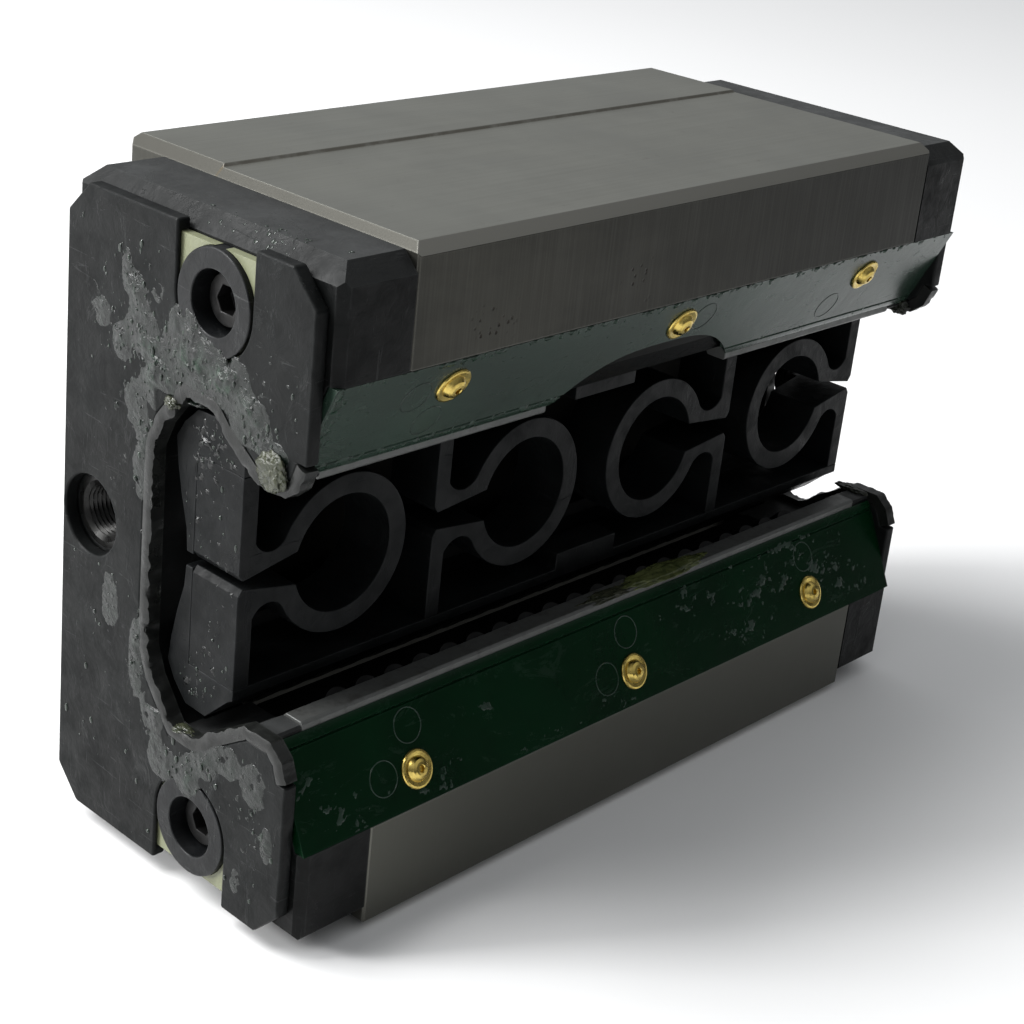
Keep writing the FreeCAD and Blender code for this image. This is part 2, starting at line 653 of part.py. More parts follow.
outer_rib = spring_rib(-LEG_X[0], -RING_X[0], SLIT[0])
inner_rib = spring_rib(-LEG_X[1], -RING_X[1], SLIT[1])
dummy_pieces = {
    "dummy_side_lower": dummy_side(),
    "dummy_side_upper": upper(dummy_side()),
    "dummy_spring_1": outer_rib,
    "dummy_spring_2": inner_rib,
    "dummy_spring_3": left(inner_rib),
    "dummy_spring_4": left(outer_rib),
}
for name, shape in dummy_pieces.items():
    shape.translate(X_AXIS * DUMMY_X)
    save(name, shape)
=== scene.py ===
"""Looks of the roller guide carriage: worn steel, oily black mouldings, green strips and grease."""

import math
import random

import bmesh
import bpy
from mathutils import Matrix, Vector, noise


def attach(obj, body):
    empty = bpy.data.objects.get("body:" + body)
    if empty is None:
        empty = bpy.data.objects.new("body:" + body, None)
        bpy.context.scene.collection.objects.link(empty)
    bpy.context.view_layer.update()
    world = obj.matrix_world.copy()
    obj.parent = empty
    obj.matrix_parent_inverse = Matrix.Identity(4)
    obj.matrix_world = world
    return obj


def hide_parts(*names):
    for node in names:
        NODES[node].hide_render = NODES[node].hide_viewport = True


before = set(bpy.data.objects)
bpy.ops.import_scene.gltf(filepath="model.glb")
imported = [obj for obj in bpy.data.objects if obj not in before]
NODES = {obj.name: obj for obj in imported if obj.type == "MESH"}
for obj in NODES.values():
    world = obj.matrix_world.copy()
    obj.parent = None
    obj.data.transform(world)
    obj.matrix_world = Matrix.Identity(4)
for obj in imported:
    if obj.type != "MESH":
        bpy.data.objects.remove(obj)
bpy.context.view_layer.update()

MM = 0.001
BODY_H = 41.4                 # rail side to mounting face
WIDTH = 70.0
MID_Z = WIDTH / 2
HEAD_END = 48.7               # outer face of a head, along the rail from the middle
HEAD_TOP = 68.9
HEAD_EDGE = 1.8               # chamfer of a head
PLATE_END = 50.2              # outer face of an end plate
NEAR_FACE = -PLATE_END        # outer face of the near end plate
DUMMY_FACE = -48.4            # near end face of the dummy rail
STEP_DEPTH = 27.42            # edge of the raised strip on the upper flank
BAND = 11.8                   # where the slanted strips begin
STRIP_RUN = (0.431, 0.902)    # direction across a slanted strip, as depth and height
STRIP_NORMAL = (0.902, -0.431)
STRIP_W = 11.2
ARCH_TOP = 5.9                # relief in the upper strip: its top, half length and middle
ARCH_HALF = 14.3
ARCH_X = -1.0
SCREW = (14.9, 8.2)           # depth and height of the lower head screw
TOP_SCREW = (14.9, WIDTH - 8.2)
PORT = (32.0, 35.0)           # depth and height of the lubrication port
PORT_KEEP_OUT = 4.6           # no grease within this distance of the port's middle
SLOT_HALF = 5.6               # half width of the plate's slot for a screw bush
RIVET_X = (-33.0, 0.0, 33.0)
RIVET_RUN = 3.5               # rivets and marks, across a strip from its outer edge
RIVET_KEEP_OUT = 2.05
CARRIAGE = "carriage"
DUMMY = "dummy_rail"
END_NAMES = {-1: "left", 1: "right"}


# ---------------------------------------------------------------- places
def at(x, depth, z):
    """A point from millimetres: along the rail, behind the rail side, above the floor."""
    return Vector((x, depth - BODY_H / 2, z)) * MM


def on_strip(x, run, proud, upper):
    """A point over a slanted strip's outer face."""
    depth = STRIP_RUN[0] * run - STRIP_NORMAL[0] * proud
    z = BAND + STRIP_RUN[1] * run - STRIP_NORMAL[1] * proud
    return at(x, depth, WIDTH - z if upper else z)


# Half of the rail opening's outline, as depth and height, and the whole of it.
MOUTH = [(1.5, 19.6), (2.3, 21.6), (3.9, 22.9), (7.6, 22.9), (8.9, 22.1), (11.0, 20.7),
         (12.5, 19.8), (13.9, 18.5), (15.0, 18.0), (18.0, 18.0), (21.2, 21.9), (22.4, 24.6)]
RAIL_LINE = MOUTH + [(depth, WIDTH - z) for depth, z in reversed(MOUTH)]


def rail_distance(depth, z):
    """Distance from a place on an end plate to the outline of the rail opening."""
    best = math.inf
    for (ax, ay), (bx, by) in zip(RAIL_LINE, RAIL_LINE[1:]):
        dx = bx - ax
        dy = by - ay
        share = ((depth - ax) * dx + (z - ay) * dy) / (dx * dx + dy * dy)
        share = min(1.0, max(0.0, share))
        best = min(best, math.hypot(depth - ax - share * dx, z - ay - share * dy))
    return best


def rough(x, y, z, scale, octaves=4):
    """Fractal noise, about -1 to 1, with features of the given size in millimetres."""
    return noise.fractal(Vector((x, y, z)) / scale, 0.9, 2.1, octaves)


def bump(value, centre, reach):
    """A smooth hump: 1 at the centre, 0 past the reach."""
    share = max(0.0, 1 - abs(value - centre) / reach)
    return share * share * (3 - 2 * share)


# ---------------------------------------------------------------- materials
class Look:
    """A procedural Principled material in the object's own coordinates (metres)."""

    def __init__(self, name, roughness, metallic=0.0, **sockets):
        self.material = bpy.data.materials.new(name)
        self.material.use_nodes = True
        self.tree = self.material.node_tree
        self.shader = self.tree.nodes["Principled BSDF"]
        self.shader.inputs["Roughness"].default_value = roughness
        self.shader.inputs["Metallic"].default_value = metallic
        for socket, value in sockets.items():
            self.shader.inputs[socket.replace("_", " ")].default_value = value
        self.place = self.add("ShaderNodeTexCoord").outputs["Object"]
        split = self.add("ShaderNodeSeparateXYZ")
        self.tree.links.new(self.place, split.inputs[0])
        self.x, self.y, self.z = split.outputs
        self.heights = []

    def add(self, kind, **settings):
        node = self.tree.nodes.new(kind)
        for key, value in settings.items():
            setattr(node, key, value)
        return node

    def put(self, value, socket):
        if isinstance(value, bpy.types.NodeSocket):
            self.tree.links.new(value, socket)
        else:
            socket.default_value = value

    def noise(self, size, detail=4.0, roughness=0.55, stretch=(1, 1, 1), shift=0.0, distort=0.0):
        """Noise with features of a size in millimetres, stretched along the axes."""
        mapping = self.add("ShaderNodeMapping")
        self.put(self.place, mapping.inputs["Vector"])
        scale = 1000.0 / size
        mapping.inputs["Scale"].default_value = [scale / s for s in stretch]
        mapping.inputs["Location"].default_value = (shift, shift * 0.7, shift * 1.3)
        node = self.add("ShaderNodeTexNoise")
        self.put(mapping.outputs[0], node.inputs["Vector"])
        node.inputs["Scale"].default_value = 1.0
        node.inputs["Detail"].default_value = detail
        node.inputs["Roughness"].default_value = roughness
        node.inputs["Distortion"].default_value = distort
        return node.outputs["Fac"]

    def cells(self, size, shift=0.0):
        """Distance from scattered points, for beads and pits of a size in millimetres."""
        mapping = self.add("ShaderNodeMapping")
        self.put(self.place, mapping.inputs["Vector"])
        mapping.inputs["Scale"].default_value = [1000.0 / size] * 3
        mapping.inputs["Location"].default_value = (shift, shift, shift)
        node = self.add("ShaderNodeTexVoronoi")
        self.put(mapping.outputs[0], node.inputs["Vector"])
        node.inputs["Scale"].default_value = 1.0
        return node.outputs["Distance"]

    def ramp(self, value, low, high, to_low=0.0, to_high=1.0):
        """Maps low..high to to_low..to_high smoothly, and holds the ends."""
        node = self.add("ShaderNodeMapRange", interpolation_type="SMOOTHSTEP")
        self.put(value, node.inputs["Value"])
        for socket, number in (("From Min", low), ("From Max", high),
                               ("To Min", to_low), ("To Max", to_high)):
            node.inputs[socket].default_value = number
        return node.outputs["Result"]

    def math(self, operation, first, second=0.0):
        node = self.add("ShaderNodeMath", operation=operation)
        self.put(first, node.inputs[0])
        self.put(second, node.inputs[1])
        return node.outputs[0]

    def near(self, axis, centre, reach):
        """1 at a coordinate in millimetres, falling to 0 at the reach."""
        gap = self.math("ABSOLUTE", self.math("SUBTRACT", axis, centre * MM))
        return self.ramp(gap, reach * MM * 0.3, reach * MM, 1.0, 0.0)

    def facing(self, axis):
        """How squarely the surface faces along an axis, 0 to 1."""
        split = self.add("ShaderNodeSeparateXYZ")
        self.put(self.add("ShaderNodeNewGeometry").outputs["Normal"], split.inputs[0])
        return self.math("ABSOLUTE", split.outputs[axis])

    def mix(self, share, first, second):
        node = self.add("ShaderNodeMix", data_type="RGBA")
        self.put(share, node.inputs[0])
        self.put((*first, 1) if isinstance(first, tuple) else first, node.inputs[6])
        self.put((*second, 1) if isinstance(second, tuple) else second, node.inputs[7])
        return node.outputs[2]

    def edges(self, radius):
        """1 along convex and concave edges, for wear."""
        bevel = self.add("ShaderNodeBevel", samples=4)
        bevel.inputs["Radius"].default_value = radius * MM
        dot = self.add("ShaderNodeVectorMath", operation="DOT_PRODUCT")
        self.put(bevel.outputs[0], dot.inputs[0])
        self.put(self.add("ShaderNodeNewGeometry").outputs["Normal"], dot.inputs[1])
        return self.ramp(dot.outputs["Value"], 0.86, 0.995, 1.0, 0.0)

    def raise_by(self, value, height):
        """Adds relief; the height is in millimetres."""
        self.heights.append(self.math("MULTIPLY", value, height))

    def done(self, color, roughness=None):
        """Connects colour, roughness and relief, and gives the finished material."""
        self.put((*color, 1) if isinstance(color, tuple) else color,
                 self.shader.inputs["Base Color"])
        if roughness is not None:
            self.put(roughness, self.shader.inputs["Roughness"])
        if self.heights:
            total = self.heights[0]
            for height in self.heights[1:]:
                total = self.math("ADD", total, height)
            relief = self.add("ShaderNodeBump")
            relief.inputs["Distance"].default_value = MM
            relief.inputs["Strength"].default_value = 1.0
            self.put(total, relief.inputs["Height"])
            self.put(relief.outputs[0], self.shader.inputs["Normal"])
        return self.material


def ground_steel():
    """Ground steel: pale flanks, sides in painted shade, a stained step, pits, worn edges, and a
    channel in painted shade.
    """
    look = Look("ground_steel", 0.4, 1.0)
    up = look.ramp(look.facing(2), 0.6, 0.9)
    # grinding lines over faint clouds, the ground colour of the flanks
    lines_front = look.noise(0.2, 3, 0.6, (1, 1, 70))
    lines_top = look.noise(0.35, 2, 0.5, (90, 1, 90), 3.0)
    lines = look.mix(up, lines_front, look.ramp(lines_top, 0.2, 0.8, 0.42, 0.58))
    cloud = look.noise(22, 5, 0.6)
    spots = look.ramp(look.noise(2.2, 6, 0.75, shift=7.0), 0.62, 0.74)
    color = look.mix(look.ramp(cloud, 0.3, 0.7), (0.228, 0.228, 0.202), (0.246, 0.248, 0.222))
    color = look.mix(look.math("MULTIPLY", look.ramp(lines, 0.35, 0.65), 0.5), color,
                     (0.30, 0.30, 0.275))
    # painted shade on the faces that don't face up: darker, most of all towards the far end, and
    # paler low on the front
    shade = look.mix(look.ramp(look.noise(16, 4, 0.6, (1, 1, 0.5), 5.0), 0.35, 0.65),
                     (0.017, 0.0165, 0.014), (0.030, 0.029, 0.0245))
    shade = look.mix(look.ramp(look.x, -0.035, 0.035), shade, (0.0035, 0.0033, 0.003))
    low_front = look.math("MULTIPLY", look.ramp(look.z, 0.020, 0.030, 1.0, 0.0),
                          look.ramp(look.y, -0.012, -0.008, 1.0, 0.0))
    shade = look.mix(low_front, shade, (0.085, 0.085, 0.073))
    shade = look.mix(look.ramp(lines, 0.4, 0.75, 0.0, 0.16), shade, (0.07, 0.068, 0.06))
    # painted shade: every face that doesn't face up takes the dark side colour
    color = look.mix(look.math("MULTIPLY", look.math("SUBTRACT", 1.0, up), 0.9), color, shade)
    color = look.mix(look.math("MULTIPLY", spots, 0.3), color, (0.07, 0.06, 0.045))
    # chamfers: painted shade on those at the ends, painted highlight on those along the sides
    lean = look.math("ABSOLUTE", look.math("SUBTRACT", look.facing(2), 0.707))
    sloping = look.ramp(lean, 0.08, 0.16, 0.85, 0.0)
    endwise = look.ramp(look.facing(0), 0.4, 0.6)
    color = look.mix(look.math("MULTIPLY", sloping, endwise), color, (0.034, 0.033, 0.029))
    sideways = look.ramp(look.facing(1), 0.4, 0.6)
    color = look.mix(look.math("MULTIPLY", sloping, sideways), color, (0.26, 0.255, 0.23))
    # brown stain along the step of the raised strip
    step = look.math("MULTIPLY", look.near(look.y, STEP_DEPTH - BODY_H / 2, 0.22),
                     look.ramp(look.z, 0.066, 0.068))
    stain = look.math("MULTIPLY", step, look.ramp(look.noise(2.2, 4), 0.3, 0.55, 0.35, 1.0))
    color = look.mix(look.math("MULTIPLY", stain, 0.55), color, (0.060, 0.048, 0.03))
    # two patches of pits on the rail side
    pits = look.ramp(look.cells(0.8, 2.0), 0.12, 0.3, 1.0, 0.0)
    patch = look.math("MULTIPLY", look.near(look.x, -30.0, 4.0), look.near(look.z, 61.0, 2.4))
    patch = look.math("MAXIMUM", patch, look.math("MULTIPLY", look.near(look.x, -10.0, 3.0),
                                                  look.near(look.z, 61.5, 3.0)))
    patch = look.math("MULTIPLY", patch, look.math("SUBTRACT", 1.0, up))
    pits = look.math("MULTIPLY", pits, patch)
    color = look.mix(look.math("MULTIPLY", pits, 0.8), color, (0.018, 0.013, 0.01))
    color = look.mix(look.math("MULTIPLY", look.edges(0.3), 0.3), color, (0.33, 0.325, 0.30))
    # painted shade: the channel is painted near black
    middle = look.math("ABSOLUTE", look.math("SUBTRACT", look.z, MID_Z * MM))
    channel = look.math("MULTIPLY", look.ramp(middle, 0.0170, 0.0180, 1.0, 0.0),
                        look.ramp(look.y, 0.0045, 0.0055, 1.0, 0.0))
    color = look.mix(look.math("MULTIPLY", channel, 0.95), color, (0.004, 0.004, 0.0035))
    look.raise_by(lines, 0.006)
    look.raise_by(look.noise(6, 3), 0.006)
    look.raise_by(pits, -0.06)
    return look.done(color, look.ramp(look.noise(9, 5, 0.6, shift=1.0), 0.3, 0.7, 0.43, 0.48))


def black_plastic(name, base, scuff, gloss, dirt, specular, top=None):
    """Oily black moulding: dents, scratches, smears and pale worn edges; top is a painted lit
    colour for its upward faces.
    """
    look = Look(name, gloss, Specular_IOR_Level=specular)
    cloud = look.noise(8, 5, 0.6)
    scratches = look.ramp(look.noise(1.1, 5, 0.7, (9, 9, 1), 4.0, 1.2), 0.63, 0.71)
    cross = look.ramp(look.noise(0.9, 5, 0.7, (1, 1, 9), 9.0, 1.4), 0.65, 0.73)
    marks = look.math("MAXIMUM", scratches, cross)
    smear = look.ramp(look.noise(3.5, 6, 0.72, (1, 1, 1.8), 6.0, 1.1), 0.56, 0.72)
    color = look.mix(look.ramp(cloud, 0.35, 0.7), base, tuple(c * 1.7 for c in base))
    # painted light: upward faces take the paler top colour
    if top:
        up = look.ramp(look.facing(2), 0.55, 0.9)
        color = look.mix(up, color, look.mix(look.ramp(cloud, 0.3, 0.7), top,
                                             tuple(c * 1.4 for c in top)))
    color = look.mix(look.math("MULTIPLY", smear, dirt * 0.55), color, scuff)
    color = look.mix(look.math("MULTIPLY", marks, dirt), color, scuff)
    wear = look.math("MULTIPLY", look.edges(0.35), look.ramp(look.noise(2.5, 4), 0.35, 0.6))
    color = look.mix(look.math("MULTIPLY", wear, 0.45), color, scuff)
    look.raise_by(look.noise(0.45, 3), 0.012)
    look.raise_by(look.noise(2.6, 4, 0.65, distort=0.6), 0.10)
    look.raise_by(look.noise(9, 4), 0.16)
    look.raise_by(marks, -0.03)
    look.raise_by(smear, 0.035)
    return look.done(color, look.ramp(look.noise(3.0, 5, 0.65, shift=2.0), 0.3, 0.72,
                                      gloss - 0.12, gloss + 0.2))


def green_plastic(name, base, pale, smears, specular=0.42, painted_shade_foot=False):
    """Semi-gloss green strip, glossy where wiped and milky where old grease has dried."""
    look = Look(name, 0.3, Specular_IOR_Level=specular)
    smear = look.ramp(look.noise(3.2, 7, 0.78, (2.2, 1, 1), 2.0, 1.3), 0.52, 0.74)
    fine = look.ramp(look.noise(0.7, 5, 0.7, (1.5, 1, 1), 3.0, 0.5), 0.55, 0.75)
    scratch = look.ramp(look.noise(0.8, 4, 0.7, (16, 1, 1), 5.0, 0.6), 0.63, 0.72)
    color = look.mix(look.ramp(look.noise(12, 4), 0.3, 0.7), base, tuple(c * 1.5 for c in base))
    color = look.mix(look.math("MULTIPLY", smear, look.ramp(fine, 0.0, 1.0, smears * 0.5, smears)),
                     color, pale)
    color = look.mix(look.math("MULTIPLY", scratch, 0.16), color, pale)
    color = look.mix(look.math("MULTIPLY", look.edges(0.25), 0.3), color, pale)
    if painted_shade_foot:
        # painted shade: black, with little specular, where the surface lies deeper in the strip
        # than its outer skin
        across = look.math("MULTIPLY", look.math("ADD", look.y, BODY_H / 2 * MM), STRIP_NORMAL[0])
        height = look.math("SUBTRACT", (WIDTH - BAND) * MM, look.z)
        inward = look.math("ADD", across, look.math("MULTIPLY", height, STRIP_NORMAL[1]))
        foot = look.ramp(inward, 0.85 * MM, 1.05 * MM)
        color = look.mix(foot, color, (0.0008, 0.001, 0.0009))
        look.put(look.ramp(foot, 0.0, 1.0, specular, 0.04),
                 look.shader.inputs["Specular IOR Level"])
    look.raise_by(look.noise(1.1, 5), 0.025)
    look.raise_by(look.noise(12, 3), 0.12)
    return look.done(color, look.ramp(smear, 0.0, 1.0, 0.24, 0.5))


def bright_metal(name, base, dark, roughness, grain, metallic=1.0):
    """Metal with stains, worn edges and fine grain stretched along the axes."""
    look = Look(name, roughness, metallic)
    stains = look.ramp(look.noise(1.3, 5, 0.7, shift=3.0), 0.5, 0.72)
    color = look.mix(look.math("MULTIPLY", stains, 0.6), base, dark)
    color = look.mix(look.math("MULTIPLY", look.edges(0.15), 0.3), color,
                     tuple(min(1.0, c * 1.5) for c in base))
    look.raise_by(look.noise(0.25, 3, 0.6, grain), 0.008)
    return look.done(color, look.ramp(look.noise(0.9, 4), 0.3, 0.7,
                                      roughness - 0.08, roughness + 0.12))


def cream():
    """Cream plastic with grimy patches."""
    look = Look("cream_plate", 0.45, Subsurface_Weight=0.1)
    look.shader.inputs["Subsurface Radius"].default_value = (0.001, 0.001, 0.0006)
    dirt = look.ramp(look.noise(2.5, 5, 0.7), 0.48, 0.75)
    color = look.mix(look.math("MULTIPLY", dirt, 0.45), (0.175, 0.185, 0.112), (0.085, 0.09, 0.052))
    look.raise_by(look.noise(0.7, 4), 0.03)
    return look.done(color)


def grease(name, thin, thick, surface=None, full=0.6, size=1.6, relief=(0.10, 0.22),
           gloss=(0.08, 0.26), beads=0.0, milky=(0.32, 0.68)):
    """Wet grease: dark and clear where thin, milky where it piles up off its surface."""
    look = Look(name, 0.2, Specular_IOR_Level=0.34)
    tint = look.ramp(look.noise(size, 7, 0.8, distort=0.8), *milky)
    if surface is not None:
        depth = look.math("ABSOLUTE", look.math("SUBTRACT", look.x, surface * MM))
        piled = look.ramp(depth, 0.03 * MM, full * MM)
        tint = look.math("MULTIPLY", tint, look.ramp(piled, 0.0, 1.0, 0.15, 1.0))
    color = look.mix(tint, thin, thick)
    look.raise_by(look.noise(0.55, 5, 0.7, distort=1.0), relief[0])
    look.raise_by(look.noise(1.6, 5, 0.65, distort=0.6), relief[1])
    if beads:
        patches = look.ramp(look.noise(1.8, 4, 0.6, shift=8.0), 0.44, 0.58)
        bead = look.ramp(look.cells(0.75, 3.0), 0.05, 0.42, 1.0, 0.0)
        look.raise_by(look.math("MULTIPLY", bead, patches), beads)
    return look.done(color, look.ramp(look.noise(0.8, 4, shift=4.0), 0.3, 0.7, *gloss))


SCUFF = (0.075, 0.08, 0.08)
LOOKS = {
    "saddle_body": ground_steel(),
    # the head's top colour is painted light on its upward faces
    "head": black_plastic("head_plastic", (0.0030, 0.0033, 0.0033), (0.04, 0.042, 0.042),
                          gloss=0.4, dirt=0.3, specular=0.10, top=(0.026, 0.027, 0.027)),
    "end_plate": black_plastic("plate_plastic", (0.0042, 0.0047, 0.0047), SCUFF,
                               gloss=0.42, dirt=0.24, specular=0.10),
    "bush": black_plastic("bush_plastic", (0.0040, 0.0044, 0.0048), SCUFF,
                          gloss=0.36, dirt=0.3, specular=0.2),
    "dummy": black_plastic("dummy_plastic", (0.0035, 0.004, 0.0042), (0.03, 0.032, 0.034),
                           gloss=0.42, dirt=0.18, specular=0.11),
    "inner": black_plastic("inner_plastic", (0.002, 0.002, 0.002), (0.01, 0.01, 0.01),
                           gloss=0.5, dirt=0.2, specular=0.1),
    "rubber": black_plastic("seal_rubber", (0.006, 0.0065, 0.006), (0.03, 0.032, 0.03),
                            gloss=0.34, dirt=0.3, specular=0.3),
    "green": green_plastic("green_strip", (0.0004, 0.0105, 0.0030), (0.012, 0.036, 0.022), 0.4,
                           0.13),
    # the upper strip's paler, greyer green is painted reflection of the bright floor, with painted
    # shade where it lies deep
    "green_upper_painted_light": green_plastic("green_strip_upper_painted_light", (0.012, 0.024, 0.017),
                                 (0.060, 0.078, 0.066), 0.3, painted_shade_foot=True),
    "cream": cream(),
    "brass": bright_metal("rivet_brass", (0.62, 0.47, 0.13), (0.26, 0.18, 0.05), 0.24, (1, 1, 1)),
    "strip_steel": bright_metal("strip_steel", (0.085, 0.088, 0.085), (0.035, 0.033, 0.03), 0.42,
                                (40, 1, 1), 0.35),
    "screw": bright_metal("black_screw", (0.020, 0.020, 0.020), (0.008, 0.007, 0.006), 0.36,
                          (1, 1, 1), 0.7),
    # painted shade: the rollers are painted near black for the shade inside the carriage
    "roller": bright_metal("roller_steel", (0.005, 0.005, 0.005), (0.002, 0.002, 0.002), 0.42,
                           (1, 1, 1), 0.8),
    "insert": bright_metal("insert_steel", (0.016, 0.016, 0.0155), (0.006, 0.006, 0.0055), 0.3,
                           (1, 1, 1), 0.8),
    "marks": green_plastic("strip_marks", (0.002, 0.014, 0.007), (0.028, 0.060, 0.042), 0.5),
    "marks_dark": green_plastic("strip_marks_dark", (0.006, 0.012, 0.009), (0.05, 0.07, 0.06), 0.3),
    "grease": grease("grease", (0.0032, 0.0046, 0.0038), (0.014, 0.032, 0.019), NEAR_FACE,
                     0.34, size=2.2, relief=(0.05, 0.16), beads=0.08, milky=(0.42, 0.66)),
    "grease_dummy": grease("grease_dummy", (0.003, 0.0034, 0.0034), (0.014, 0.018, 0.015),
                           DUMMY_FACE, 0.5, relief=(0.05, 0.12)),
    "grease_cream": grease("grease_cream", (0.018, 0.022, 0.014), (0.047, 0.050, 0.030), size=1.4,
                           relief=(0.04, 0.10)),
    "grease_yellow": grease("grease_yellow", (0.030, 0.042, 0.014), (0.11, 0.125, 0.045),
                            size=2.0, relief=(0.03, 0.07)),
    "grease_smear": grease("grease_smear", (0.002, 0.012, 0.006), (0.013, 0.034, 0.021), size=0.9,
                           relief=(0.03, 0.04), gloss=(0.2, 0.45)),
    "grease_dark": grease("grease_dark", (0.006, 0.007, 0.006), (0.028, 0.032, 0.022), size=1.0),
    "grease_bead": grease("grease_bead", (0.006, 0.008, 0.007), (0.024, 0.034, 0.026), size=1.2,
                          relief=(0.02, 0.02), gloss=(0.04, 0.12)),
}
# The look of each CAD node, by the start of its name; the first match counts.
LOOK_OF = (("saddle", "saddle_body"), ("head", "head"), ("end_plate", "end_plate"),
           ("screw_bushes", "bush"), ("dummy", "dummy"), ("wiper", "rubber"),
           ("retainer_strip_upper", "green_upper_painted_light"), ("retainer_strip", "green"),
           ("backing_plate", "cream"), ("strip_rivets", "brass"),
           ("guide_strip", "strip_steel"), ("end_screws", "screw"), ("lube_plug", "screw"),
           ("lube_insert", "insert"), ("loaded_rollers", "roller"), ("return_rollers", "roller"),
           ("return_tube", "inner"), ("turn_guides", "inner"), ("roller_retainer", "inner"))


def look_of(node):
    return next(look for start, look in LOOK_OF if node.startswith(start))


def dress(obj, material):
    obj.data.materials.clear()
    obj.data.materials.append(material)


for name, obj in NODES.items():
    dress(obj, LOOKS[look_of(name)])


# ---------------------------------------------------------------- pieces
SHARP_ANGLE = 28              # edges sharper than this are rounded, in degrees


def body_of(node):
    return DUMMY if node.startswith("dummy") else CARRIAGE


def new_piece(name, bm, look, body):
    """An object that rides on a body, dressed in one of the looks."""
    mesh = bpy.data.meshes.new(name)
    bm.to_mesh(mesh)
    bm.free()
    obj = bpy.data.objects.new(name, mesh)
    bpy.context.scene.collection.objects.link(obj)
    dress(obj, LOOKS[look])
    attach(obj, body)
    return obj


def smooth(bm):
    """Smooth shading on every face."""
    for face in bm.faces:
        face.smooth = True


def face_outward(bm):
    """Faces turned outward and shaded smooth."""
    bmesh.ops.recalc_face_normals(bm, faces=bm.faces)
    smooth(bm)


def bridge(bm, rings, loop=False):
    """Faces between neighbouring rings of points, and from the last to the first for a loop."""
    count = len(rings[0])
    following = rings[1:] + rings[:1] if loop else rings[1:]
    for first, second in zip(rings, following):
        for k in range(count):
            n = (k + 1) % count
            bm.faces.new((first[k], first[n], second[n], second[k]))


def soften(node, width):
    """A copy of a CAD node with its sharp edges rounded, standing in for the node."""
    bm = bmesh.new()
    bm.from_mesh(NODES[node].data)
    bmesh.ops.remove_doubles(bm, verts=bm.verts, dist=2e-6)
    bmesh.ops.dissolve_limit(bm, angle_limit=math.radians(0.6), verts=bm.verts, edges=bm.edges)
    smooth(bm)
    piece = new_piece(node + "_worn", bm, look_of(node), body_of(node))
    piece.data.set_sharp_from_angle(angle=math.radians(SHARP_ANGLE))
    round_off = piece.modifiers.new("edges", "BEVEL")
    round_off.width = width * MM
    round_off.segments = 2
    round_off.limit_method = "ANGLE"
    round_off.angle_limit = math.radians(SHARP_ANGLE)
    round_off.use_clamp_overlap = True
    even = piece.modifiers.new("even", "WEIGHTED_NORMAL")
    even.keep_sharp = False
    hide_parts(node)


# Radius of the worn edges of each node that is softened.
SOFTENED = {"saddle_body": 0.12, "retainer_strip_upper": 0.12, "retainer_strip_lower": 0.12,
            "guide_strip_lower": 0.1, "guide_strip_upper": 0.1, "dummy_side_lower": 0.1,
            "dummy_side_upper": 0.1}
for side in ("left", "right"):
    SOFTENED["head_" + side] = 0.25
    SOFTENED["end_plate_" + side] = 0.25
    SOFTENED["screw_bushes_" + side] = 0.15
    SOFTENED["end_screws_" + side] = 0.2
for number in range(1, 5):
    SOFTENED["dummy_spring_" + str(number)] = 0.12
for name, width in SOFTENED.items():
    soften(name, width)


# ---------------------------------------------------------------- wiper lips
LIP_W = 1.28                  # width of the lip's band on the plate


def along(line, step):
    """Points along an open line at about equal steps, with the normal away from the opening."""
    points = []
    for (ax, ay), (bx, by) in zip(line, line[1:]):
        size = math.hypot(bx - ax, by - ay)
        count = max(1, round(size / step))
        for part in range(count):
            share = part / count
            points.append((ax + share * (bx - ax), ay + share * (by - ay),
                           (by - ay) / size, -(bx - ax) / size))
    last = points[-1]
    points.append((line[-1][0], line[-1][1], last[2], last[3]))
    turned = []
    for index, (px, py, _, _) in enumerate(points):
        near = points[max(0, index - 3):index + 4]
        nx = sum(p[2] for p in near)
        ny = sum(p[3] for p in near)
        size = math.hypot(nx, ny)
        turned.append((px, py, nx / size, ny / size))
    return turned


def torn_lip(side):
    """Rubber lip round the opening with a torn, swollen edge; side is -1 for the near end."""
    bm = bmesh.new()
    rings = []
    for depth, z, nx, ny in along(RAIL_LINE, 0.32):
        wave = rough(depth, z, 5.0 * side, 1.1)
        fine = rough(depth, z, 9.0 * side, 0.8, 2)
        inside = min(1.0, max(0.0, (depth - 15.0) / 2.0))
        ragged = 0.32 + 0.55 * inside + (0.3 * bump(depth, 9.5, 6.0) if z > MID_Z else 0.0)
        reach = 0.10 + 0.55 * ragged
        torn = max(-0.6, min(1.0, 0.75 * wave + (0.1 + 0.35 * ragged) * fine)) * reach
        curl = 0.25 + 0.2 * rough(depth, z, 2.0, 1.6)
        # each point: how far off the opening's outline, and how far along the rail
        profile = [(-torn, PLATE_END - 0.55),
                   (-torn, PLATE_END - 0.05 + 0.3 * ragged * max(0.0, curl)),
                   (0.35, PLATE_END + 0.12 + 0.3 * ragged * max(0.0, wave)),
                   (0.85, PLATE_END + 0.10 + 0.12 * ragged * abs(fine)),
                   (LIP_W, PLATE_END + 0.02),
                   (LIP_W, HEAD_END + 0.02),
                   (0.0, HEAD_END + 0.02)]
        rings.append([bm.verts.new(at(side * x, depth + nx * away, z + ny * away))
                      for away, x in profile])
    bridge(bm, rings)
    bm.faces.new(rings[0])
    bm.faces.new(rings[-1])
    face_outward(bm)
    name = END_NAMES[side]
    piece = new_piece("wiper_" + name + "_torn", bm, "rubber", CARRIAGE)
    piece.data.set_sharp_from_angle(angle=math.radians(50))
    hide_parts("wiper_" + name)


